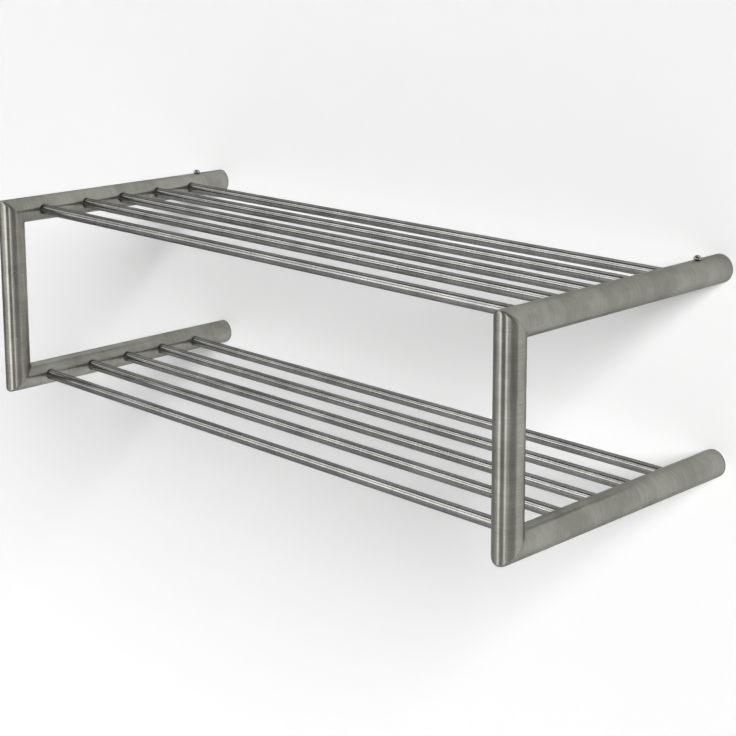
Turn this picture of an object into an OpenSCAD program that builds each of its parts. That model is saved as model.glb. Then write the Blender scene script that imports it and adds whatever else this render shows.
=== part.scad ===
// Wall shoe rack: two C-shaped side frames of round tube carry two shelves of round rods.
// The upper arms slide over two spigots screwed to the wall and are clamped from above.
// Origin: on the wall, midway between the two wall screws. +X right, +Y into the wall, +Z up.

/* [Side frames] */
// Distance between the centre lines of the two side frames
arm_spacing = 790; // [400:10:1100]
// Distance from the wall to the centre line of the uprights
arm_reach = 327; // [310:1:420]
// Height between the centre lines of the upper and the lower arms
shelf_spacing = 207; // [120:1:320]
// Outer diameter of the frame tube
tube_d = 30; // [27:0.5:36]
// Wall thickness of the frame tube
tube_wall = 2; // [1:0.1:2.5]

/* [Shelf rods] */
// Outer diameter of a shelf rod, which is a tube itself
rod_d = 12; // [8:0.5:14]
// Wall thickness of a shelf rod
rod_wall = 1; // [0.6:0.1:2]
// Distance from the upright's centre line back to the first rod
rod_first = 37; // [30:1:40]
// Distance from the first rod to the second, where a heel hooks in
heel_gap = 62; // [45:1:62]
// Distance between the other rods
rod_pitch = 55; // [35:1:55]
// How far a rod's end stands out of the tube wall inside the arm
rod_end_past = 0.5; // [0.2:0.1:1]

/* [Wall brackets] */
// Thickness of the flange between the wall and the arm's end
flange_t = 2; // [1.5:0.1:4]
// Chamfer on the flange's edge at the wall
flange_chamfer = 0.4; // [0.1:0.1:0.6]
// Length of the spigot, from the flange to its free end
spigot_l = 50; // [46:1:53]
// Diameter of the bore that the wall screw's head and the driver go down
spigot_bore_d = 14; // [11:0.5:14.5]
// Thickness of the seat under the wall screw's head, flange included
seat_t = 7; // [4:0.5:12]
// Diameter of the hole for the wall screw
wall_hole_d = 5.5; // [4.5:0.1:8]
// Chamfer on the spigot's free end
spigot_chamfer = 1.2; // [0.4:0.1:2]

/* [Clamp screws] */
// Distance from the wall to the clamp screw's axis
screw_from_wall = 42; // [34:1:44]
// Nominal thread diameter
screw_d = 5; // [4:0.5:5.5]
// Length under the head
screw_l = 6; // [5:0.1:6.5]
// Diameter of the round head
screw_head_d = 8.5; // [7:0.1:9]
// Height of the head at the middle of its dome
screw_head_h = 4.6; // [4.2:0.1:5.4]
// Radius of the sphere that the dome is part of
screw_dome_r = 4.6; // [4.6:0.1:8]
// Width of the hex socket across its flats
socket_af = 3; // [2:0.5:4]
// Depth of the hex socket below the middle of the dome
socket_depth = 2.4; // [1.5:0.1:3]
// Chamfer on the screw's tip
tip_chamfer = 0.6; // [0.2:0.1:1]

/* [Lower end caps] */
// Thickness of the cap's collar between the wall and the arm's end
collar_t = 2; // [1.5:0.1:4]
// Rounding of the collar's edge at the wall, as a chamfer
collar_chamfer = 0.5; // [0.1:0.1:0.9]
// Length of the plug inside the arm
plug_l = 16; // [12:1:30]
// Diameter of the plug's core between its fins
plug_core_d = 19; // [14:0.5:21]
// Diameter of the hollow inside the plug's core
plug_hollow_d = 14; // [8:0.5:16]
// Thickness of a fin at its outer edge
fin_t = 1; // [0.6:0.1:1.6]
// Length over which a fin tapers down to the core
fin_taper = 1.6; // [0.8:0.1:2]
// Diameter of the shallow recess in the cap's face at the wall
recess_d = 20; // [12:0.5:24]
// Depth of that recess
recess_depth = 0.6; // [0.2:0.1:1]

/* [Fits] */
// Gap all round between a spigot and the arm's bore
spigot_clearance = 0.1; // [0.05:0.01:0.1]
// Gap all round between a rod and its hole in the arm
rod_clearance = 0.05; // [0.02:0.01:0.1]
// Gap all round between the clamp screw and the tapped hole in the arm
thread_clearance = 0.05; // [0.02:0.01:0.1]
// Gap between the clamp screw and each side of the spigot's slot
slot_clearance = 0.4; // [0.3:0.05:0.8]
// Gap between the clamp screw's head and the arm's crown
head_gap = 0.3; // [0.2:0.05:0.5]
// Gap between the clamp screw's tip and the floor of the slot
tip_gap = 0.1; // [0.05:0.05:0.3]
// Gap all round between a plug's fins and the lower arm's bore
fin_clearance = 0.05; // [0.02:0.01:0.15]

/* [Hidden] */

$fn = 96;
// Overlap that a cutter takes past the face it cuts
past = 1;

LEFT = -1;
RIGHT = 1;
tube_r = tube_d / 2;
bore_r = tube_r - tube_wall;
rod_r = rod_d / 2;
arm_x = arm_spacing / 2;
upper_z = 0;
lower_z = -shelf_spacing;
upright_y = -arm_reach;

// A rod's end plane, measured inward from the arm's axis: past the bore at the rod's own height
rod_end_x = arm_x - sqrt(bore_r * bore_r - rod_r * rod_r) + rod_end_past;
rod_y = [
    upright_y + rod_first,
    for (i = [0:3]) upright_y + rod_first + heel_gap + i * rod_pitch
];

// Edge length of the block that cuts a mitre, which clears the whole tube
mitre_block = 3 * tube_d;
UPPER_CORNER = -45;
LOWER_CORNER = -135;

// The clamp screw stands on the slot's floor, with its head just over the arm's crown
screw_y = -screw_from_wall;
head_z = upper_z + tube_r + head_gap;
tip_z = head_z - screw_l;
slot_floor_z = tip_z - tip_gap;
slot_w = screw_d + 2 * slot_clearance;
spigot_r = bore_r - spigot_clearance;
spigot_end_y = -flange_t - spigot_l;

fin_r = bore_r - fin_clearance;
fin_count = 3;
fin_step = (plug_l - fin_t) / fin_count;

steel = [0.60, 0.59, 0.56];
bracket_steel = [0.52, 0.52, 0.51];
screw_steel = [0.68, 0.68, 0.66];
cap_grey = [0.30, 0.30, 0.29];

// A straight cylinder along Y, centred on the given x and z
module along_y(x, z, from, to, r) {
    translate([x, from, z]) rotate([-90, 0, 0]) cylinder(r = r, h = to - from);
}

// A cone frustum along Y, from radius r1 at the lower y to r2 at the higher y
module taper_y(x, z, from, to, r1, r2) {
    translate([x, from, z]) rotate([-90, 0, 0]) cylinder(r1 = r1, r2 = r2, h = to - from);
}

// Half of space on one side of a corner's 45 degree mitre plane, as a large block
module mitre_half(side, z, tilt, arm_side) {
    translate([side * arm_x, upright_y, z])
        rotate([tilt, 0, 0])
            translate([-mitre_block / 2, -mitre_block / 2, arm_side ? 0 : -mitre_block])
                cube(mitre_block);
}

// Holes for one shelf's rods, from the arm's axis out through its inner side
module rod_holes(side, z) {
    for (y = rod_y)
        translate([side * arm_x, y, z])
            rotate([0, -side * 90, 0])
                cylinder(r = rod_r + rod_clearance, h = tube_r + past);
}

// An arm without its mitre: outer tube, bore and rod holes, ending at end_y near the wall
module arm_blank(side, z, end_y) {
    difference() {
        along_y(side * arm_x, z, upright_y - tube_r, end_y, tube_r);
        along_y(side * arm_x, z, upright_y - tube_r - past, end_y + past, bore_r);
        rod_holes(side, z);
    }
}

module upper_arm(side) {
    color(steel)
        difference() {
            arm_blank(side, upper_z, -flange_t);
            mitre_half(side, upper_z, UPPER_CORNER, false);
            // Tapped hole for the clamp screw
            translate([side * arm_x, screw_y, upper_z])
                cylinder(r = screw_d / 2 + thread_clearance, h = tube_r + past);
        }
}

module lower_arm(side) {
    color(steel)
        difference() {
            arm_blank(side, lower_z, -collar_t);
            mitre_half(side, lower_z, LOWER_CORNER, false);
        }
}

module upright(side) {
    height = upper_z - lower_z + 2 * tube_r;
    color(steel)
        difference() {
            translate([side * arm_x, upright_y, lower_z - tube_r]) cylinder(r = tube_r, h = height);
            translate([side * arm_x, upright_y, lower_z - tube_r - past])
                cylinder(r = bore_r, h = height + 2 * past);
            mitre_half(side, upper_z, UPPER_CORNER, true);
            mitre_half(side, lower_z, LOWER_CORNER, true);
        }
}

module shelf_rod(index, z) {
    length = 2 * rod_end_x;
    color(steel)
        translate([-rod_end_x, rod_y[index - 1], z])
            rotate([0, 90, 0])
                difference() {
                    cylinder(r = rod_r, h = length);
                    translate([0, 0, -past]) cylinder(r = rod_r - rod_wall, h = length + 2 * past);
                }
}

// Flange against the wall with a spigot that the upper arm slides over
module wall_bracket(side) {
    x = side * arm_x;
    color(bracket_steel)
        difference() {
            union() {
                taper_y(x, upper_z, -flange_chamfer, 0, tube_r, tube_r - flange_chamfer);
                along_y(x, upper_z, -flange_t, -flange_chamfer, tube_r);
                along_y(x, upper_z, spigot_end_y + spigot_chamfer, -flange_t, spigot_r);
                taper_y(x, upper_z, spigot_end_y, spigot_end_y + spigot_chamfer,
                        spigot_r - spigot_chamfer, spigot_r);
            }
            // Bore for the driver, and the wall screw's hole through its seat
            along_y(x, upper_z, spigot_end_y - past, -seat_t, spigot_bore_d / 2);
            along_y(x, upper_z, -seat_t - past, past, wall_hole_d / 2);
            // Slot along the top, open at the free end, for the clamp screw's tip
            translate([x - slot_w / 2, spigot_end_y - past, slot_floor_z])
                cube([slot_w, screw_y - spigot_end_y + past, tube_d]);
            translate([x, screw_y, slot_floor_z]) cylinder(d = slot_w, h = tube_d);
        }
}

// Socket screw with a round head, standing upright
module clamp_screw(side) {
    top_z = head_z + screw_head_h;
    translate([side * arm_x, screw_y, 0])
        color(screw_steel)
            difference() {
                union() {
                    translate([0, 0, tip_z])
                        cylinder(r1 = screw_d / 2 - tip_chamfer, r2 = screw_d / 2, h = tip_chamfer);
                    translate([0, 0, tip_z + tip_chamfer])
                        cylinder(d = screw_d, h = screw_l - tip_chamfer);
                    // Upright side and dome of the head
                    intersection() {
                        translate([0, 0, head_z]) cylinder(d = screw_head_d, h = screw_head_h);
                        translate([0, 0, top_z - screw_dome_r]) sphere(r = screw_dome_r);
                    }
                }
                // Hex socket
                translate([0, 0, top_z - socket_depth])
                    cylinder(r = socket_af / 2 / cos(30), h = socket_depth + past, $fn = 6);
            }
}

// Finned tube plug with a collar that keeps the lower arm's end off the wall
module end_cap(side) {
    x = side * arm_x;
    color(cap_grey)
        difference() {
            union() {
                taper_y(x, lower_z, -collar_chamfer, 0, tube_r, tube_r - collar_chamfer);
                along_y(x, lower_z, -collar_t, -collar_chamfer, tube_r);
                along_y(x, lower_z, -collar_t - plug_l, -collar_t, plug_core_d / 2);
                for (i = [1:fin_count]) {
                    fin_y = -collar_t - i * fin_step;
                    along_y(x, lower_z, fin_y - fin_t, fin_y, fin_r);
                    taper_y(x, lower_z, fin_y, fin_y + fin_taper, fin_r, plug_core_d / 2);
                }
            }
            along_y(x, lower_z, -collar_t - plug_l - past, -collar_t, plug_hollow_d / 2);
            along_y(x, lower_z, -recess_depth, past, recess_d / 2);
        }
}

wall_bracket(LEFT);  // left_wall_bracket
wall_bracket(RIGHT);  // right_wall_bracket
upper_arm(LEFT);  // left_upper_arm
upright(LEFT);  // left_upright
lower_arm(LEFT);  // left_lower_arm
upper_arm(RIGHT);  // right_upper_arm
upright(RIGHT);  // right_upright
lower_arm(RIGHT);  // right_lower_arm
shelf_rod(1, upper_z);  // upper_rod_1
shelf_rod(2, upper_z);  // upper_rod_2
shelf_rod(3, upper_z);  // upper_rod_3
shelf_rod(4, upper_z);  // upper_rod_4
shelf_rod(5, upper_z);  // upper_rod_5
shelf_rod(1, lower_z);  // lower_rod_1
shelf_rod(2, lower_z);  // lower_rod_2
shelf_rod(3, lower_z);  // lower_rod_3
shelf_rod(4, lower_z);  // lower_rod_4
shelf_rod(5, lower_z);  // lower_rod_5
end_cap(LEFT);  // left_end_cap
end_cap(RIGHT);  // right_end_cap
clamp_screw(LEFT);  // left_clamp_screw
clamp_screw(RIGHT);  // right_clamp_screw
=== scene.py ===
"""Looks of the wall shoe rack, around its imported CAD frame.

The shelf rods, wall brackets and end caps are the CAD nodes with finished materials.
The frame tubes and clamp screws are replaced by finer meshes of the same size, with
ground corners, eased edges, open rod holes, real threads and hex sockets.
"""

import math

import bpy
from mathutils import Euler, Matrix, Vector


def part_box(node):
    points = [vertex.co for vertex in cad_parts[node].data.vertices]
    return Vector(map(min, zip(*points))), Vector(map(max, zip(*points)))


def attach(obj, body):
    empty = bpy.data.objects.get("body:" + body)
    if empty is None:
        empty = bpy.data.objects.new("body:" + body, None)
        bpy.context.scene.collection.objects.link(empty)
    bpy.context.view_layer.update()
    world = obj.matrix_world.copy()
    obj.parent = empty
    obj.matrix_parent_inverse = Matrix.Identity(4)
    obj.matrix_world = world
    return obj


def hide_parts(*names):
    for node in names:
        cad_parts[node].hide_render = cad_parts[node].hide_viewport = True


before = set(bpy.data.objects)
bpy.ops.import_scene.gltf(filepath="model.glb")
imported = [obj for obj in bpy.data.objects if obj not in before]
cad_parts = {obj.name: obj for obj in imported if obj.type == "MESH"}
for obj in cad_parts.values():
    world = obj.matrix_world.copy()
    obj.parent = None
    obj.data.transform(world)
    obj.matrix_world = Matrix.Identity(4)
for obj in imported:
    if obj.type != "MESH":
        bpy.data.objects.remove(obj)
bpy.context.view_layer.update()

MM = 0.001
FULL_TURN = 2 * math.pi
SIDES = {"left": -1, "right": 1}
SHELVES = ("upper", "lower")
RODS_PER_SHELF = 5

# Sizes and places read from the frame
arm_low, arm_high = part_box("right_upper_arm")
lower_low, lower_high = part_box("right_lower_arm")
screw_low, screw_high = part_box("right_clamp_screw")
rod_low, rod_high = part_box("upper_rod_1")
TUBE_R = (arm_high.x - arm_low.x) / 2
ARM_X = (arm_high.x + arm_low.x) / 2
UPPER_Z = (arm_high.z + arm_low.z) / 2
LOWER_Z = (lower_high.z + lower_low.z) / 2
UPRIGHT_Y = arm_low.y + TUBE_R
UPPER_END_Y = arm_high.y
LOWER_END_Y = lower_high.y
ROD_R = (rod_high.z - rod_low.z) / 2
SCREW_Y = (screw_high.y + screw_low.y) / 2
SOCKET_RIM = screw_high.z
SCREW_TIP = screw_low.z
HEAD_R = (screw_high.x - screw_low.x) / 2


# Frame tubes

TUBE_WALL = 2 * MM
BORE_R = TUBE_R - TUBE_WALL
ROD_HOLE_R = ROD_R + 0.05 * MM
SCREW_HOLE_R = 2.55 * MM
CORNER_ROUND = 2.6 * MM
CORNER_FADE = 3 * MM
PLAIN_START = TUBE_R + CORNER_ROUND + CORNER_FADE + 1 * MM
HOLE_EASE = 0.25 * MM
END_EASE = 0.3 * MM
AROUND = 96
INNER_SIDE = AROUND // 2
OUTER_SIDE = AROUND // 4
# What a hole takes of the tube's grid to each side of its axis: columns, and length
ROD_HOLE_BLOCK = (12, 12 * MM)
SCREW_HOLE_BLOCK = (5, 6 * MM)
# Loops round a hole, from the grid in to its edge: reach in hole radii, and how much painted shade
# darkens the steel there
HOLE_LOOPS = ((1.34, 0.0), (1.14, 0.2), (1.0, 0.6))


class Shell:
    """A closed mesh being built, with a normal for each corner of each face."""

    def __init__(self):
        self.points = []
        # Per point: how much of the mitre weld seam, and how much painted shade where parts meet
        self.marks = {"weld": [], "joint_shade": []}
        self.faces = []
        self.normals = []

    def corner(self, point, normal, weld=0.0, joint_shade=0.0):
        self.points.append(point)
        self.marks["weld"].append(weld)
        self.marks["joint_shade"].append(joint_shade)
        return len(self.points) - 1, normal.normalized()

    def face(self, corners):
        """Adds a face, turned so that it looks the way its corners' normals do."""
        points = [self.points[index] for index, normal in corners]
        facing = (points[2] - points[0]).cross(points[-1] - points[1])
        wanted = sum((normal for index, normal in corners), Vector())
        if facing.dot(wanted) < 0:
            corners = corners[::-1]
        self.faces.append([index for index, normal in corners])
        self.normals.extend(normal for index, normal in corners)

    def bridge(self, ring, other):
        for k in range(len(ring)):
            after = (k + 1) % len(ring)
            self.face([ring[k], ring[after], other[after], other[k]])

    def bridge_all(self, rings):
        for ring, other in zip(rings, rings[1:]):
            self.bridge(ring, other)

    def build(self, name):
        mesh = bpy.data.meshes.new(name)
        mesh.from_pydata(self.points, [], self.faces)
        mesh.polygons.foreach_set("use_smooth", [True] * len(self.faces))
        mesh.normals_split_custom_set(self.normals)
        for mark, values in self.marks.items():
            mesh.attributes.new(mark, "FLOAT", "POINT").data.foreach_set("value", values)
        return place_in_scene(name, mesh)


def place_in_scene(name, mesh):
    made = bpy.data.objects.new(name, mesh)
    bpy.context.scene.collection.objects.link(made)
    return made


def faced(ring, normal):
    """The same ring with one normal at all its corners, for a flat face beside it."""
    return [(index, normal.normalized()) for index, old in ring]


class TubeSpace:
    """A tube's own axes at one end: sideways, along past the end, and out of the rack."""

    def __init__(self, origin, sideways, along, outward):
        self.origin = origin
        self.axes = (sideways, along, outward)

    def turn(self, sideways, along, outward):
        return self.axes[0] * sideways + self.axes[1] * along + self.axes[2] * outward

    def place(self, sideways, along, outward):
        return self.origin + self.turn(sideways, along, outward)


def angle_of(column):
    return FULL_TURN * column / AROUND


def cut_ring(shell, space, radius, setback, slant=1, facing=1):
    """A ring set back along the tube, parallel to the mitre, or square when slant is 0."""
    ring = []
    for column in range(AROUND):
        angle = angle_of(column)
        across = radius * math.cos(angle)
        out = radius * math.sin(angle)
        normal = space.turn(math.cos(angle), 0, math.sin(angle)) * facing
        ring.append(shell.corner(space.place(across, out * slant - setback, out), normal))
    return ring


def corner_rings(shell, space):
    """The ground corner of a mitred tube, from the mitre plane back to the plain tube."""
    steps = 4
    rings = []
    for step in range(steps, -1, -1):
        bend = math.radians(45) * step / steps
        ring = []
        for column in range(AROUND):
            angle = angle_of(column)
            across = TUBE_R * math.cos(angle)
            along = TUBE_R * math.sin(angle) - CORNER_ROUND * (1 - math.sin(bend))
            out = TUBE_R * math.sin(angle) - CORNER_ROUND * (1 - math.cos(bend))
            normal = space.turn(
                math.cos(angle) * (math.cos(bend) + math.sin(bend)),
                math.sin(angle) * math.sin(bend),
                math.sin(angle) * math.cos(bend),
            )
            weld = 0.5 + 0.5 * step / steps
            ring.append(shell.corner(space.place(across, along, out), normal, weld))
        rings.append(ring)
    rings.append(cut_ring(shell, space, TUBE_R, CORNER_ROUND + CORNER_FADE))
    return rings


def mitre_face(shell, space, outer, bore):
    """The flat cut face in the mitre plane, hidden against the next tube's."""
    normal = space.turn(0, 1, -1)
    shell.bridge(faced(outer, normal), faced(bore, normal))


class Hole:
    """A round hole through one side of a tube, and the block of the tube's grid it takes."""

    ROWS = 8

    def __init__(self, column, block, centre, radius):
        half_columns, half_length = block
        self.column = column
        self.columns = (column - half_columns, column + half_columns)
        self.centre = centre
        self.ends = (centre - half_length, centre + half_length)
        self.radius = radius
        self.edges = []

    def stations(self):
        low, high = self.ends
        return [low + (high - low) * row / self.ROWS for row in range(self.ROWS)] + [high]

    def covers(self, column, middle):
        inside = self.columns[0] <= column < self.columns[1]
        return inside and self.ends[0] < middle < self.ends[1]

    def point(self, space, radius, reach, turn, sunk=0.0):
        """A point at the given reach from the hole's axis, sunk below the tube's surface."""
        axis = angle_of(self.column)
        sideways = reach * math.sin(turn)
        depth = math.sqrt(radius**2 - sideways**2) - sunk
        across = depth * math.cos(axis) - sideways * math.sin(axis)
        out = depth * math.sin(axis) + sideways * math.cos(axis)
        return space.place(across, self.centre + reach * math.cos(turn), out)

    def surface_normal(self, space, radius, reach, turn):
        around = angle_of(self.column) + math.asin(reach * math.sin(turn) / radius)
        return space.turn(math.cos(around), 0, math.sin(around))

    def inward(self, space, turn):
        """The direction from the hole's wall to the hole's own axis."""
        axis = angle_of(self.column)
        return -space.turn(
            -math.sin(axis) * math.sin(turn),
            math.cos(turn),
            math.cos(axis) * math.sin(turn),
        )


def tube_wall(shell, space, radius, stations, holes, facing):
    """Quads round a tube between stations, with an open edge left in it for each hole.

    Returns the rings at the first and last station. Each hole keeps its own open edge.
    """
    made = {}

    def corner(column, row):
        key = (column % AROUND, row)
        if key not in made:
            angle = angle_of(column)
            across = math.cos(angle)
            out = math.sin(angle)
            point = space.place(radius * across, stations[row], radius * out)
            made[key] = shell.corner(point, space.turn(across, 0, out) * facing)
        return made[key]

    for row in range(len(stations) - 1):
        middle = (stations[row] + stations[row + 1]) / 2
        for column in range(AROUND):
            if not any(hole.covers(column, middle) for hole in holes):
                shell.face([
                    corner(column, row), corner(column + 1, row),
                    corner(column + 1, row + 1), corner(column, row + 1),
                ])
    for hole in holes:
        cut_hole(shell, space, radius, stations, hole, corner, facing)
    last_row = len(stations) - 1
    first = [corner(column, 0) for column in range(AROUND)]
    last = [corner(column, last_row) for column in range(AROUND)]
    return first, last


def cut_hole(shell, space, radius, stations, hole, corner, facing):
    """Loops of quads from a hole's block of the grid in to the hole's edge, with painted shade
    darkening the steel towards the edge where the rod or screw sits.
    """
    left, right = hole.columns
    top, bottom = sorted(stations.index(end) for end in hole.ends)
    border = [(column, top) for column in range(left, right)]
    border += [(right, row) for row in range(top, bottom)]
    border += [(column, bottom) for column in range(right, left, -1)]
    border += [(left, row) for row in range(bottom, top, -1)]
    turns = []
    for column, row in border:
        sideways = radius * math.sin(angle_of(column) - angle_of(hole.column))
        turns.append(math.atan2(sideways, stations[row] - hole.centre))

    outside = facing > 0
    ease = HOLE_EASE if outside else 0.0
    loops = [[corner(column, row) for column, row in border]]
    for spread, joint_shade in HOLE_LOOPS:
        reach = hole.radius * spread + ease
        loops.append([
            shell.corner(
                hole.point(space, radius, reach, turn),
                hole.surface_normal(space, radius, reach, turn) * facing,
                joint_shade=joint_shade,
            )
            for turn in turns
        ])
    steps = 3 if outside else 0
    for step in range(1, steps + 1):
        bend = math.radians(90) * step / steps
        reach = hole.radius + ease * (1 - math.sin(bend))
        sunk = ease * (1 - math.cos(bend))
        loops.append([
            shell.corner(
                hole.point(space, radius, reach, turn, sunk),
                hole.surface_normal(space, radius, reach, turn) * math.cos(bend)
                + hole.inward(space, turn) * math.sin(bend),
                joint_shade=1.0,
            )
            for turn in turns
        ])
    shell.bridge_all(loops)
    edge = zip(loops[-1], turns)
    hole.edges.append([(index, hole.inward(space, turn)) for (index, old), turn in edge])


def wall_end(shell, space, station, outer, bore):
    """The square-cut end of a tube, with an eased outer edge darkened towards the wall with
    painted shade.
    """
    steps = 3
    along = space.turn(0, -1, 0)
    rings = [outer]
    for step in range(1, steps + 1):
        bend = math.radians(90) * step / steps
        radius = TUBE_R - END_EASE * (1 - math.cos(bend))
        at = station + END_EASE * (1 - math.sin(bend))
        ring = []
        for column in range(AROUND):
            angle = angle_of(column)
            around = space.turn(math.cos(angle), 0, math.sin(angle))
            normal = around * math.cos(bend) + along * math.sin(bend)
            point = space.place(radius * math.cos(angle), at, radius * math.sin(angle))
            ring.append(shell.corner(point, normal, joint_shade=0.6 * step / steps))
        rings.append(ring)
    shell.bridge_all(rings)
    shell.bridge(faced(rings[-1], along), faced(bore, along))


def make_arm(name, side, level, outward, end_y, rod_places, screwed):
    """An arm, from its mitred front corner to its square end at the wall."""
    origin = Vector((side * ARM_X, UPRIGHT_Y, level))
    space = TubeSpace(origin, Vector((side, 0, 0)), Vector((0, -1, 0)), Vector((0, 0, outward)))
    end = UPRIGHT_Y - end_y
    holes = [Hole(INNER_SIDE, ROD_HOLE_BLOCK, UPRIGHT_Y - y, ROD_HOLE_R) for y in rod_places]
    if screwed:
        holes.append(Hole(OUTER_SIDE, SCREW_HOLE_BLOCK, UPRIGHT_Y - SCREW_Y, SCREW_HOLE_R))
    stations = {-PLAIN_START, end + END_EASE}
    for hole in holes:
        stations.update(hole.stations())
    stations = sorted(stations, reverse=True)

    shell = Shell()
    rings = corner_rings(shell, space)
    first, last = tube_wall(shell, space, TUBE_R, stations, holes, 1)
    shell.bridge_all(rings + [first])
    bore_stations = stations[:-1] + [end]
    bore_mitre = cut_ring(shell, space, BORE_R, 0, facing=-1)
    bore_first, bore_last = tube_wall(shell, space, BORE_R, bore_stations, holes, -1)
    shell.bridge(bore_mitre, bore_first)
    for hole in holes:
        outer_edge, inner_edge = hole.edges
        shell.bridge(outer_edge, inner_edge)
    mitre_face(shell, space, rings[0], bore_mitre)
    wall_end(shell, space, end, last, bore_last)
    return shell.build(name)


def make_upright(name, side):
    """An upright, mitred at its top and bottom."""
    shell = Shell()
    ends = []
    for level, along in ((UPPER_Z, 1), (LOWER_Z, -1)):
        origin = Vector((side * ARM_X, UPRIGHT_Y, level))
        space = TubeSpace(origin, Vector((side, 0, 0)), Vector((0, 0, along)), Vector((0, -1, 0)))
        outer = corner_rings(shell, space)
        outer.append(cut_ring(shell, space, TUBE_R, PLAIN_START, slant=0))
        bore = [
            cut_ring(shell, space, BORE_R, 0, facing=-1),
            cut_ring(shell, space, BORE_R, PLAIN_START, slant=0, facing=-1),
        ]
        shell.bridge_all(outer)
        shell.bridge_all(bore)
        mitre_face(shell, space, outer[0], bore[0])
        ends.append((outer[-1], bore[-1]))
    (top_outer, top_bore), (bottom_outer, bottom_bore) = ends
    shell.bridge(top_outer, bottom_outer)
    shell.bridge(top_bore, bottom_bore)
    return shell.build(name)


# Clamp screws

SCREW_AROUND = 48
SCREW_R = 2.5 * MM
THREAD_PITCH = 0.8 * MM
THREAD_DEPTH = 0.49 * MM
THREAD_ROWS = 8
# Shares of the pitch: half of the thread's crest, and one flank
HALF_CREST = 0.0625
FLANK = 0.3125
HEAD_H = 4.6 * MM
HEAD_RIM = 0.25 * MM
HEAD_EDGE = 0.45 * MM
NECK = 0.3 * MM
DOME_R = 4.6 * MM
DOME_STEPS = 8
SOCKET_AF = 3 * MM
SOCKET_DEPTH = 2.4 * MM
SOCKET_POINT = 0.4 * MM
SOCKET_CHAMFER = 0.65 * MM
MOUTH_R = SOCKET_AF / 2 * 1.26
MOUTH_DROP = 0.05 * MM
MOUTH_EASE = 0.12 * MM
TIP_CHAMFER = 0.6 * MM
SCREW_TOP = SOCKET_RIM + DOME_R - math.sqrt(DOME_R**2 - (SOCKET_AF / 2)**2)


def round_ring(radius, z):
    ring = []
    for k in range(SCREW_AROUND):
        angle = FULL_TURN * k / SCREW_AROUND
        ring.append(Vector((radius * math.cos(angle), radius * math.sin(angle), z)))
    return ring


def hex_ring(across_flats, z):
    ring = []
    for k in range(SCREW_AROUND):
        angle = FULL_TURN * k / SCREW_AROUND
        off_flat = (angle + math.pi / 6) % (math.pi / 3) - math.pi / 6
        radius = across_flats / 2 / math.cos(off_flat)
        ring.append(Vector((radius * math.cos(angle), radius * math.sin(angle), z)))
    return ring


def thread_ring(z, core):
    """A ring of the right-hand thread, never wider than the core radius plus its depth."""
    ring = []
    for k in range(SCREW_AROUND):
        angle = FULL_TURN * k / SCREW_AROUND
        phase = (z / THREAD_PITCH - k / SCREW_AROUND) % 1
        flank = min(1, max(0, (abs(phase - 0.5) - HALF_CREST) / FLANK))
        radius = min(SCREW_R - THREAD_DEPTH * flank, core)
        ring.append(Vector((radius * math.cos(angle), radius * math.sin(angle), z)))
    return ring


def dome_ring(radius):
    """A ring on the round top of the head."""
    return round_ring(radius, SCREW_TOP - DOME_R + math.sqrt(DOME_R**2 - radius**2))


def screw_rings():
    """The screw's rings, from the floor of its socket over the head and down to the tip."""
    head_bottom = SCREW_TOP - HEAD_H
    dome_edge = SCREW_TOP - DOME_R + math.sqrt(DOME_R**2 - HEAD_R**2)
    rings = [
        hex_ring(SOCKET_AF, SCREW_TOP - SOCKET_DEPTH),
        hex_ring(SOCKET_AF, SCREW_TOP - SOCKET_CHAMFER),
        round_ring(MOUTH_R, dome_ring(MOUTH_R)[0].z - MOUTH_DROP),
        dome_ring(MOUTH_R + MOUTH_EASE),
    ]
    for step in range(1, DOME_STEPS):
        share = math.sin(math.radians(90) * step / DOME_STEPS)
        rings.append(dome_ring(MOUTH_R + (HEAD_R - MOUTH_R) * share))
    rings.append(round_ring(HEAD_R, dome_edge - HEAD_RIM))
    rings.append(round_ring(HEAD_R, head_bottom + HEAD_EDGE))
    for bend in (30, 60, 90):
        lean = math.radians(bend)
        radius = HEAD_R - HEAD_EDGE * (1 - math.cos(lean))
        rings.append(round_ring(radius, head_bottom + HEAD_EDGE * (1 - math.sin(lean))))
    rings.append(round_ring(SCREW_R + NECK, head_bottom))
    rings.append(round_ring(SCREW_R, head_bottom - NECK))
    low = SCREW_TIP + TIP_CHAMFER / 2
    high = head_bottom - 2 * NECK
    rows = round((high - low) / THREAD_PITCH * THREAD_ROWS)
    for row in range(rows + 1):
        z = high + (low - high) * row / rows
        core = SCREW_R - max(0, SCREW_TIP + TIP_CHAMFER - z)
        rings.append(thread_ring(z, core))
    rings.append(round_ring(SCREW_R - TIP_CHAMFER, SCREW_TIP))
    return rings


def make_screw(name, side):
    rings = screw_rings()
    centre = Vector((side * ARM_X, SCREW_Y, 0))
    points = [centre + point for ring in rings for point in ring]
    top = len(points)
    points.append(centre + Vector((0, 0, SCREW_TOP - SOCKET_DEPTH - SOCKET_POINT)))
    points.append(centre + Vector((0, 0, SCREW_TIP)))
    last = (len(rings) - 1) * SCREW_AROUND
    faces = []
    for k in range(SCREW_AROUND):
        after = (k + 1) % SCREW_AROUND
        faces.append((top, k, after))
        faces.append((last + k, top + 1, last + after))
        for row in range(len(rings) - 1):
            here = row * SCREW_AROUND
            below = here + SCREW_AROUND
            faces.append((here + k, below + k, below + after, here + after))
    mesh = bpy.data.meshes.new(name)
    mesh.from_pydata(points, [], faces)
    mesh.polygons.foreach_set("use_smooth", [True] * len(faces))
    mesh.set_sharp_from_angle(angle=math.radians(38))
    return place_in_scene(name, mesh)


# Materials

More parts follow.
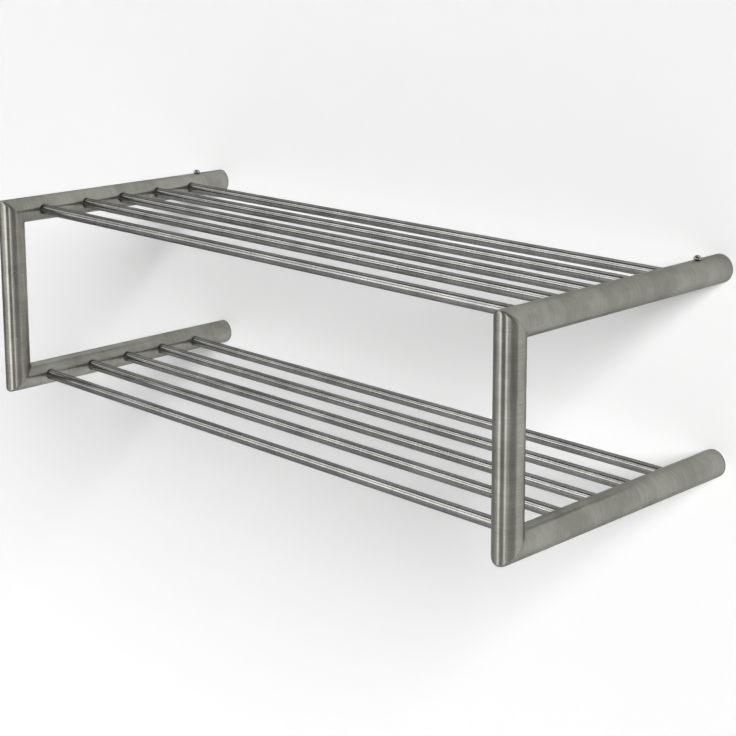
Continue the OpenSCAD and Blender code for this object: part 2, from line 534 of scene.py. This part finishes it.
class Nodes:
    """A node tree being built, with short calls for the nodes that it uses."""

    def __init__(self, owner, coordinates):
        owner.use_nodes = True
        self.owner = owner
        self.tree = owner.node_tree
        self.tree.nodes.clear()
        self.place = self.node("ShaderNodeTexCoord").outputs[coordinates]

    def node(self, kind, inputs=None, **settings):
        made = self.tree.nodes.new(kind)
        for setting, value in settings.items():
            setattr(made, setting, value)
        for socket, value in (inputs or {}).items():
            self.feed(made.inputs[socket], value)
        return made

    def feed(self, socket, value):
        if isinstance(value, bpy.types.NodeSocket):
            self.tree.links.new(value, socket)
        else:
            socket.default_value = value

    def math(self, operation, *values):
        made = self.node("ShaderNodeMath", operation=operation)
        for socket, value in zip(made.inputs, values):
            self.feed(socket, value)
        return made.outputs[0]

    def axis(self, name):
        """One coordinate: of the piece's own space in metres, or of the world's direction."""
        return self.node("ShaderNodeSeparateXYZ", {"Vector": self.place}).outputs[name]

    def ramp(self, value, low, high, start, end, shape="LINEAR"):
        """Goes from start to end as the value goes from low to high."""
        made = self.node("ShaderNodeMapRange", {
            "Value": value, "From Min": low, "From Max": high, "To Min": start, "To Max": end,
        }, interpolation_type=shape)
        return made.outputs["Result"]

    def seen(self):
        """1 for rays from the camera and from shiny or clear surfaces, which see alike."""
        rays = self.node("ShaderNodeLightPath").outputs
        seen = self.math("MAXIMUM", rays["Is Camera Ray"], rays["Is Glossy Ray"])
        return self.math("MAXIMUM", seen, rays["Is Transmission Ray"])

    def finish(self, shader, output="ShaderNodeOutputMaterial"):
        self.node(output, {"Surface": shader})
        return self.owner


class Paint(Nodes):
    """One node material being built."""

    def __init__(self, name):
        super().__init__(bpy.data.materials.new(name), "Object")

    def span(self, value, low, high, start=0.0, end=1.0):
        """A smooth step from start to end as the value goes from low to high."""
        return self.ramp(value, low, high, start, end, "SMOOTHSTEP")

    def noise(self, scale, detail=2.0, roughness=0.5):
        """Noise from 0 to 1, with its own scale along X, Y and Z in cells a metre."""
        stretched = self.node(
            "ShaderNodeVectorMath", {0: self.place, 1: scale}, operation="MULTIPLY",
        )
        made = self.node("ShaderNodeTexNoise", {
            "Vector": stretched.outputs[0], "Scale": 1.0, "Detail": detail, "Roughness": roughness,
        })
        return made.outputs["Fac"]

    def mark(self, name):
        """The value that the mesh carries under this name, or 0."""
        return self.node("ShaderNodeAttribute", attribute_name=name).outputs["Fac"]

    def mix(self, amount, first, second):
        made = self.node("ShaderNodeMix", data_type="RGBA")
        colours = [socket for socket in made.inputs if socket.type == "RGBA"]
        self.feed(made.inputs["Factor"], amount)
        self.feed(colours[0], first)
        self.feed(colours[1], second)
        return next(socket for socket in made.outputs if socket.type == "RGBA")

    def bump(self, height, strength, depth, below=None):
        inputs = {"Height": height, "Strength": strength, "Distance": depth}
        if below:
            inputs["Normal"] = below
        return self.node("ShaderNodeBump", inputs).outputs["Normal"]

    def along(self, axis):
        """The tangent of a surface that lies along an axis."""
        return self.node("ShaderNodeCombineXYZ", {axis: 1.0}).outputs["Vector"]

    def glow(self, strength):
        made = self.node("ShaderNodeEmission", {"Color": (1, 1, 1, 1), "Strength": strength})
        return made.outputs["Emission"]

    def finish_one_sided(self, surface, opening=None):
        """Ends the material so that the camera sees through the surface from behind.

        Where opening is 1, all the other rays pass through the surface from either side.
        """
        behind = self.node("ShaderNodeNewGeometry").outputs["Backfacing"]
        camera_ray = self.node("ShaderNodeLightPath").outputs["Is Camera Ray"]
        clear = self.math("MULTIPLY", behind, camera_ray)
        if opening:
            unseen = self.math("SUBTRACT", 1.0, camera_ray)
            clear = self.math("MAXIMUM", clear, self.math("MULTIPLY", opening, unseen))
        window = self.node("ShaderNodeBsdfTransparent").outputs["BSDF"]
        mixed = self.node("ShaderNodeMixShader", {0: clear, 1: surface, 2: window})
        return self.finish(mixed.outputs["Shader"])


def shade(colour, factor):
    return tuple(channel * factor for channel in colour) + (1.0,)


def stretched_scale(axis, along, around):
    """A noise scale in cells a metre, fine along one axis and coarse across it."""
    return tuple(along if name == axis else around for name in "XYZ")


def ground_steel(name, axis, colour, roughness, grain, edge):
    """Satin steel, ground round a tube or rod that lies along the given axis.

    The grinding runs round the piece, so highlights spread along it. Edge is how much of
    a metal's usual brightening at a glancing angle is left.
    """
    paint = Paint(name)
    fine = paint.noise(stretched_scale(axis, along=2600, around=60), detail=3)
    bands = paint.noise(stretched_scale(axis, along=520, around=22), detail=2)
    clouds = paint.noise((26, 26, 26), detail=3, roughness=0.6)
    handling = paint.noise((90, 90, 90), detail=4, roughness=0.65)
    weld = paint.span(paint.mark("weld"), 0.55, 1.0)
    # Painted shade: darker and rougher round the rod and screw holes and at the wall ends, where
    # parts meet
    joint_shade = paint.mark("joint_shade")

    tone = paint.math("MULTIPLY", fine, 0.4)
    tone = paint.math("MULTIPLY_ADD", bands, 0.2, tone)
    tone = paint.math("MULTIPLY_ADD", clouds, 0.7, tone)
    clean = paint.mix(paint.span(tone, 0.47, 0.83), shade(colour, 0.8), shade(colour, 1.18))
    seamed = paint.mix(paint.math("MULTIPLY", weld, 0.45), clean, shade(colour, 0.72))
    # The painted shade at the joints, made patchy by the handling noise
    painted_joint_shade = paint.math("MULTIPLY", joint_shade, paint.span(handling, 0.25, 0.6, 0.45, 1.0))
    final = paint.mix(paint.math("MULTIPLY", painted_joint_shade, 0.5), seamed, shade(colour, 0.3))

    rough = paint.math("MULTIPLY_ADD", handling, 0.1, roughness - 0.05)
    rough = paint.math("MULTIPLY_ADD", bands, 0.06, rough)
    rough = paint.math("MULTIPLY_ADD", weld, 0.08, rough)
    rough = paint.math("MULTIPLY_ADD", joint_shade, 0.2, rough)

    normal = paint.bump(fine, grain, 0.03 * MM)
    normal = paint.bump(bands, grain, 0.02 * MM, normal)
    shader = paint.node("ShaderNodeBsdfPrincipled", {
        "Base Color": final, "Metallic": 1.0, "Roughness": rough, "Anisotropic": 0.88,
        "Specular Tint": (edge, edge, edge, 1), "Tangent": paint.along(axis), "Normal": normal,
    })
    return paint.finish(shader.outputs["BSDF"])


def turned_steel(name, colour):
    """Steel turned on a lathe about Y, with fine rings."""
    paint = Paint(name)
    rings = paint.noise((40, 5200, 40), detail=2)
    clouds = paint.noise((60, 60, 60), detail=3)
    tone = paint.math("MULTIPLY_ADD", rings, 0.5, paint.math("MULTIPLY", clouds, 0.5))
    colours = paint.mix(paint.span(tone, 0.3, 0.7), shade(colour, 0.84), shade(colour, 1.06))
    rough = paint.math("MULTIPLY_ADD", clouds, 0.12, 0.27)
    normal = paint.bump(rings, 0.4, 0.03 * MM)
    shader = paint.node("ShaderNodeBsdfPrincipled", {
        "Base Color": colours, "Metallic": 1.0, "Roughness": rough, "Anisotropic": 0.7,
        "Tangent": paint.along("Y"), "Normal": normal,
    })
    return paint.finish(shader.outputs["BSDF"])


def bright_steel(name, colour):
    """Polished screw steel with faint tool marks and soft wear."""
    paint = Paint(name)
    marks = paint.noise((1500, 1500, 1500), detail=3)
    smudges = paint.noise((420, 420, 420), detail=3)
    colours = paint.mix(paint.span(smudges, 0.3, 0.75), shade(colour, 0.86), shade(colour, 1.06))
    rough = paint.math("MULTIPLY_ADD", smudges, 0.14, 0.1)
    normal = paint.bump(marks, 0.12, 0.02 * MM)
    shader = paint.node("ShaderNodeBsdfPrincipled", {
        "Base Color": colours, "Metallic": 1.0, "Roughness": rough, "Normal": normal,
    })
    return paint.finish(shader.outputs["BSDF"])


def moulded_plastic(name, colour):
    """Matt moulded plastic with a fine spark-eroded grain."""
    paint = Paint(name)
    grain = paint.noise((3800, 3800, 3800), detail=2)
    flow = paint.noise((130, 130, 130), detail=3)
    colours = paint.mix(paint.span(flow, 0.3, 0.7), shade(colour, 0.9), shade(colour, 1.12))
    rough = paint.math("MULTIPLY_ADD", flow, 0.14, 0.42)
    normal = paint.bump(grain, 0.35, 0.04 * MM)
    shader = paint.node("ShaderNodeBsdfPrincipled", {
        "Base Color": colours, "Roughness": rough, "Normal": normal,
    })
    return paint.finish(shader.outputs["BSDF"])


def give(piece, material):
    piece.data.materials.clear()
    piece.data.materials.append(material)


WARM_STEEL = (0.35, 0.345, 0.308)
ROD_STEEL = (0.305, 0.303, 0.29)
frame_steel = {
    axis: ground_steel(
        f"frame_steel_{axis}", axis, WARM_STEEL, roughness=0.27, grain=0.1, edge=0.42,
    )
    for axis in "YZ"
}
rod_steel = ground_steel("rod_steel", "X", ROD_STEEL, roughness=0.14, grain=0.05, edge=0.2)
bracket_steel = turned_steel("bracket_steel", (0.3, 0.3, 0.293))
screw_steel = bright_steel("screw_steel", (0.42, 0.42, 0.405))
cap_plastic = moulded_plastic("cap_plastic", (0.14, 0.14, 0.135))


# The dressed rack

def rod_places(shelf):
    """The rods' places along Y on one shelf, front to back."""
    places = []
    for number in range(1, RODS_PER_SHELF + 1):
        low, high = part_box(f"{shelf}_rod_{number}")
        places.append((low.y + high.y) / 2)
    return places


def stand_for(piece, node, body, material):
    """Puts a finer piece in a CAD node's place."""
    give(piece, material)
    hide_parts(node)
    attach(piece, body)


for side_name, side in SIDES.items():
    for shelf, level, outward, end_y in (
        ("upper", UPPER_Z, 1, UPPER_END_Y), ("lower", LOWER_Z, -1, LOWER_END_Y),
    ):
        node = f"{side_name}_{shelf}_arm"
        screwed = shelf == "upper"
        arm = make_arm(
            f"{node}_tube", side, level, outward, end_y, rod_places(shelf), screwed,
        )
        stand_for(arm, node, "rack", frame_steel["Y"])
    upright = make_upright(f"{side_name}_upright_tube", side)
    stand_for(upright, f"{side_name}_upright", "rack", frame_steel["Z"])
    screw = make_screw(f"{side_name}_screw", side)
    stand_for(screw, f"{side_name}_clamp_screw", f"{side_name}_screw", screw_steel)
    give(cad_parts[f"{side_name}_wall_bracket"], bracket_steel)
    give(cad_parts[f"{side_name}_end_cap"], cap_plastic)

for shelf in SHELVES:
    for number in range(1, RODS_PER_SHELF + 1):
        give(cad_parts[f"{shelf}_rod_{number}"], rod_steel)


# Studio

WALL_Y = 0.4 * MM
FLOOR_Z = -1.1
STUDIO_HALF = 4.0
STUDIO_FRONT = -4.0
WALL_TOP = 3.0
OPENING_R = TUBE_R - 0.4 * MM
WALL_WHITE = (0.9, 0.9, 0.9, 1)
WALL_LIFT = 0.12
FLOOR_COLOUR = (0.6, 0.6, 0.595, 1)
# Brightness of the space round the wall and floor, and of the light it gives matt surfaces
STUDIO_GREY = 0.2
CEILING_GREY = 0.05
BELOW_GREY = 0.45
BEHIND_GREY = 0.8
FILL = 0.03
# Where that space changes from one brightness to the next, along a unit direction's Z or Y
OVERHEAD_Z = (0.45, 0.9)
FLOOR_EDGE_Z = (-0.28, -0.22)
BEHIND_WALL_Y = (0.0, 0.3)


def panel(name, corners, material):
    """A flat four-sided sheet of the studio, which isn't part of the rack."""
    mesh = bpy.data.meshes.new(name)
    mesh.from_pydata([Vector(corner) for corner in corners], [], [(0, 1, 2, 3)])
    made = place_in_scene(name, mesh)
    give(made, material)
    return made


def wall_paint():
    """White matt paint, a little brighter where it is seen than the lamp makes it.

    It lets light and reflections through behind the arms' ends, so that the wall faces
    of the brackets and caps aren't black when they are seen from behind.
    """
    paint = Paint("wall_white")
    matt = paint.node("ShaderNodeBsdfDiffuse", {"Color": WALL_WHITE}).outputs["BSDF"]
    lift = paint.glow(paint.math("MULTIPLY", paint.seen(), WALL_LIFT))
    lit = paint.node("ShaderNodeAddShader", {0: matt, 1: lift}).outputs["Shader"]
    across = paint.math("SUBTRACT", paint.math("ABSOLUTE", paint.axis("X")), ARM_X)
    height = paint.math("SUBTRACT", paint.axis("Z"), (UPPER_Z + LOWER_Z) / 2)
    height = paint.math("SUBTRACT", paint.math("ABSOLUTE", height), (UPPER_Z - LOWER_Z) / 2)
    squared = paint.math("MULTIPLY_ADD", across, across, paint.math("MULTIPLY", height, height))
    opening = paint.math("LESS_THAN", paint.math("SQRT", squared), OPENING_R)
    return paint.finish_one_sided(lit, opening)


def floor_paint():
    """Pale matt floor."""
    paint = Paint("floor_pale")
    matt = paint.node("ShaderNodeBsdfDiffuse", {"Color": FLOOR_COLOUR}).outputs["BSDF"]
    return paint.finish_one_sided(matt)


panel("wall", [
    (-STUDIO_HALF, WALL_Y, FLOOR_Z), (STUDIO_HALF, WALL_Y, FLOOR_Z),
    (STUDIO_HALF, WALL_Y, WALL_TOP), (-STUDIO_HALF, WALL_Y, WALL_TOP),
], wall_paint())
panel("floor", [
    (-STUDIO_HALF, STUDIO_FRONT, FLOOR_Z), (STUDIO_HALF, STUDIO_FRONT, FLOOR_Z),
    (STUDIO_HALF, WALL_Y, FLOOR_Z), (-STUDIO_HALF, WALL_Y, FLOOR_Z),
], floor_paint())


def light_sheet(name, corners, glow, right_glow=None):
    """A broad soft light that shiny surfaces alone see, even or changing to the right."""
    paint = Paint(name)
    strength = glow
    if right_glow is not None:
        across = [corner[0] for corner in corners]
        strength = paint.span(paint.axis("X"), min(across), max(across), glow, right_glow)
    sheet = panel(name, corners, paint.finish(paint.glow(strength)))
    sheet.visible_camera = False
    sheet.visible_diffuse = False
    sheet.visible_shadow = False
    sheet.visible_transmission = False
    sheet.visible_volume_scatter = False


def upright_sheet(name, x, y, z, glow, right_glow=None):
    """A light sheet that faces the wall, from its lowest to its highest x and z."""
    left, right = x
    low, high = z
    corners = [(left, y, low), (right, y, low), (right, y, high), (left, y, high)]
    light_sheet(name, corners, glow, right_glow)


upright_sheet("left_strip", x=(-0.9, -0.26), y=-2.08, z=(-1.04, 1.1), glow=2.55)
upright_sheet("right_strip", x=(0.77, 1.21), y=-2.05, z=(-1.04, 1.1), glow=2.3)
upright_sheet("right_fill", x=(1.37, 2.07), y=-2.05, z=(-1.04, 1.1), glow=0.9)
upright_sheet("low_bank", x=(-3.6, -0.95), y=-2.1, z=(-0.18, 0.95), glow=0.9, right_glow=2.7)
light_sheet("high_bank", [
    (-3.6, -2.05, 1.42), (-0.95, -2.05, 1.42), (-0.95, -0.92, 1.6), (-3.6, -0.92, 1.6),
], glow=0.9, right_glow=2.8)


KEY_ENERGY = 4.9
KEY_SPREAD = math.radians(27)
KEY_TRAVEL = Vector((-1.75, 1.0, -1.0))


def key_light():
    """A broad distant light from the upper right, whose soft shadows fall down and left."""
    data = bpy.data.lights.new("key", "SUN")
    data.energy = KEY_ENERGY
    data.angle = KEY_SPREAD
    lamp = bpy.data.objects.new("key", data)
    bpy.context.scene.collection.objects.link(lamp)
    lamp.rotation_euler = KEY_TRAVEL.to_track_quat("-Z", "Y").to_euler()
    lamp.visible_glossy = False


key_light()


def world_light():
    """A plain grey studio, which reflections show just as the camera sees it.

    It is darker overhead, pale below the floor's edge, and nearly white behind the wall.
    """
    world = bpy.data.worlds.new("studio")
    nodes = Nodes(world, "Generated")
    height = nodes.axis("Z")
    tone = nodes.ramp(height, *OVERHEAD_Z, STUDIO_GREY, CEILING_GREY)
    tone = nodes.ramp(height, *FLOOR_EDGE_Z, BELOW_GREY, tone)
    tone = nodes.ramp(nodes.axis("Y"), *BEHIND_WALL_Y, tone, BEHIND_GREY)
    strength = nodes.ramp(nodes.seen(), 0.0, 1.0, FILL, tone)
    background = nodes.node("ShaderNodeBackground", {"Color": (1, 1, 1, 1), "Strength": strength})
    nodes.finish(background.outputs["Background"], "ShaderNodeOutputWorld")
    bpy.context.scene.world = world


world_light()


# Camera, from a fit to the tube outlines

CAMERA_PLACE = (1.3297, -1.4217, 0.3609)
CAMERA_AZIMUTH = 44.559
CAMERA_DOWN = 10.599
CAMERA_LENS = 82.21
CAMERA_SHIFT = (-0.0357, -0.1997)

camera_data = bpy.data.cameras.new("camera")
camera_data.sensor_width = 36
camera_data.lens = CAMERA_LENS
camera_data.shift_x, camera_data.shift_y = CAMERA_SHIFT
camera = bpy.data.objects.new("camera", camera_data)
bpy.context.scene.collection.objects.link(camera)
camera.location = CAMERA_PLACE
camera.rotation_euler = Euler((
    math.radians(90 - CAMERA_DOWN), 0, math.radians(CAMERA_AZIMUTH),
))
bpy.context.scene.camera = camera
bpy.context.scene.view_settings.view_transform = "Standard"
